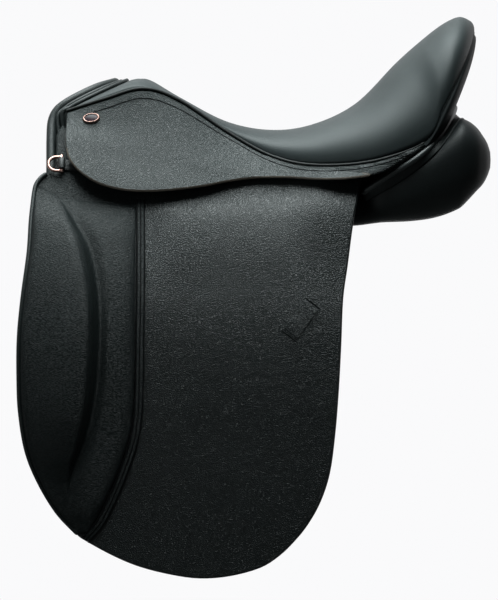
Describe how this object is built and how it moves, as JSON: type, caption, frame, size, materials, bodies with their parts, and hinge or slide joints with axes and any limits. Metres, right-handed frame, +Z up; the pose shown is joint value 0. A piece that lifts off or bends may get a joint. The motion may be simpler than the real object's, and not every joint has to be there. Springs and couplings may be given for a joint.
{
  "type": "dressage saddle",
  "caption": "Black leather dressage saddle with a deep seat, cut-back head, long straight flaps with thigh blocks, padded panels, stirrup bars, dee rings and girth straps.",
  "frame": {"origin": "on the middle plane, under the lowest point of the seat, at the level where the panels bear on the horse's back", "axes": "+X forward to the pommel, +Y to the horse's left side, +Z up"},
  "size_m": [0.5299, 0.455, 0.629],
  "materials": {
    "leather": "black bridle leather with a fine printed grain",
    "seat_leather": "smooth black seat leather with a soft sheen",
    "soft_leather": "soft black calf leather over padding",
    "panel_leather": "soft black leather over wool stuffing",
    "foam": "foam",
    "wood": "laminated beech",
    "webbing": "woven webbing",
    "steel": "forged steel",
    "fittings": "pale rose plated brass"
  },
  "bodies": {
    "saddle": {"tree": "wood", "head_plate": "steel", "gullet_plate": "steel", "seat_web": "webbing", "front_girth_web": "webbing", "rear_girth_web": "webbing", "seat_foam": "foam", "seat_cover": "seat_leather", "cantle_facing": "leather", "panel_piping": "leather", "pommel_roll": "soft_leather", "head_facing": "soft_leather", "channel_lining": "leather", "panel_bridge": "panel_leather", "left_tree_point": "wood", "left_seat_welt": "leather", "left_panel": "panel_leather", "left_sweat_flap": "leather", "left_skirt_top": "leather", "left_skirt_stud": "fittings", "left_flap_top": "leather", "left_dee_chape": "leather", "left_dee_nail": "fittings", "left_stirrup_bar": "steel", "left_bar_rivets": "steel", "left_catch_pin": "steel", "right_tree_point": "wood", "right_seat_welt": "leather", "right_panel": "panel_leather", "right_sweat_flap": "leather", "right_skirt_top": "leather", "right_skirt_stud": "fittings", "right_flap_top": "leather", "right_dee_chape": "leather", "right_dee_nail": "fittings", "right_stirrup_bar": "steel", "right_bar_rivets": "steel", "right_catch_pin": "steel"},
    "left_flap": {"left_flap": "leather", "left_thigh_block": "foam", "left_knee_pad": "soft_leather", "left_pad_piping": "soft_leather", "left_pad_binding": "leather", "left_leather_keeper": "leather"},
    "left_skirt": {"left_skirt": "leather"},
    "left_dee": {"left_dee_ring": "fittings"},
    "left_catch": {"left_bar_catch": "steel"},
    "left_front_strap": {"left_front_girth_strap": "leather"},
    "left_rear_strap": {"left_rear_girth_strap": "leather"},
    "right_flap": {"right_flap": "leather", "right_thigh_block": "foam", "right_knee_pad": "soft_leather", "right_pad_piping": "soft_leather", "right_pad_binding": "leather", "right_leather_keeper": "leather"},
    "right_skirt": {"right_skirt": "leather"},
    "right_dee": {"right_dee_ring": "fittings"},
    "right_catch": {"right_bar_catch": "steel"},
    "right_front_strap": {"right_front_girth_strap": "leather"},
    "right_rear_strap": {"right_rear_girth_strap": "leather"}
  },
  "joints": [
    {"name": "left_flap_lift", "type": "hinge", "parent": "saddle", "child": "left_flap", "pos_m": [0, 0.12877, 0.00245], "axis": [1, 0, 0], "range_deg": [0, 80]},
    {"name": "left_skirt_lift", "type": "hinge", "parent": "saddle", "child": "left_skirt", "pos_m": [0.03, 0.12343, 0.03419], "axis": [0.9693, -0.1339, 0.2061], "range_deg": [0, 60]},
    {"name": "left_dee_swing", "type": "hinge", "parent": "saddle", "child": "left_dee", "pos_m": [0.24, 0.10573, 0.04592], "axis": [0, -0.5446, 0.8387], "range_deg": [0, 90]},
    {"name": "left_catch_turn", "type": "hinge", "parent": "saddle", "child": "left_catch", "pos_m": [0.128, 0.09576, 0.05971], "axis": [0, 0.8387, 0.5446], "range_deg": [0, 80]},
    {"name": "left_front_strap_swing", "type": "hinge", "parent": "saddle", "child": "left_front_strap", "pos_m": [0.084, 0.112, 0.02], "axis": [0, 1, 0], "range_deg": [-4, 4]},
    {"name": "left_rear_strap_swing", "type": "hinge", "parent": "saddle", "child": "left_rear_strap", "pos_m": [0.016, 0.112, 0.02], "axis": [0, 1, 0], "range_deg": [-4, 4]},
    {"name": "right_flap_lift", "type": "hinge", "parent": "saddle", "child": "right_flap", "pos_m": [0, -0.12877, 0.00245], "axis": [-1, 0, 0], "range_deg": [0, 80]},
    {"name": "right_skirt_lift", "type": "hinge", "parent": "saddle", "child": "right_skirt", "pos_m": [0.03, -0.12343, 0.03419], "axis": [-0.9693, -0.1339, -0.2061], "range_deg": [0, 60]},
    {"name": "right_dee_swing", "type": "hinge", "parent": "saddle", "child": "right_dee", "pos_m": [0.24, -0.10573, 0.04592], "axis": [0, -0.5446, -0.8387], "range_deg": [0, 90]},
    {"name": "right_catch_turn", "type": "hinge", "parent": "saddle", "child": "right_catch", "pos_m": [0.128, -0.09576, 0.05971], "axis": [0, 0.8387, -0.5446], "range_deg": [0, 80]},
    {"name": "right_front_strap_swing", "type": "hinge", "parent": "saddle", "child": "right_front_strap", "pos_m": [0.084, -0.112, 0.02], "axis": [0, 1, 0], "range_deg": [-4, 4]},
    {"name": "right_rear_strap_swing", "type": "hinge", "parent": "saddle", "child": "right_rear_strap", "pos_m": [0.016, -0.112, 0.02], "axis": [0, 1, 0], "range_deg": [-4, 4]}
  ]
}
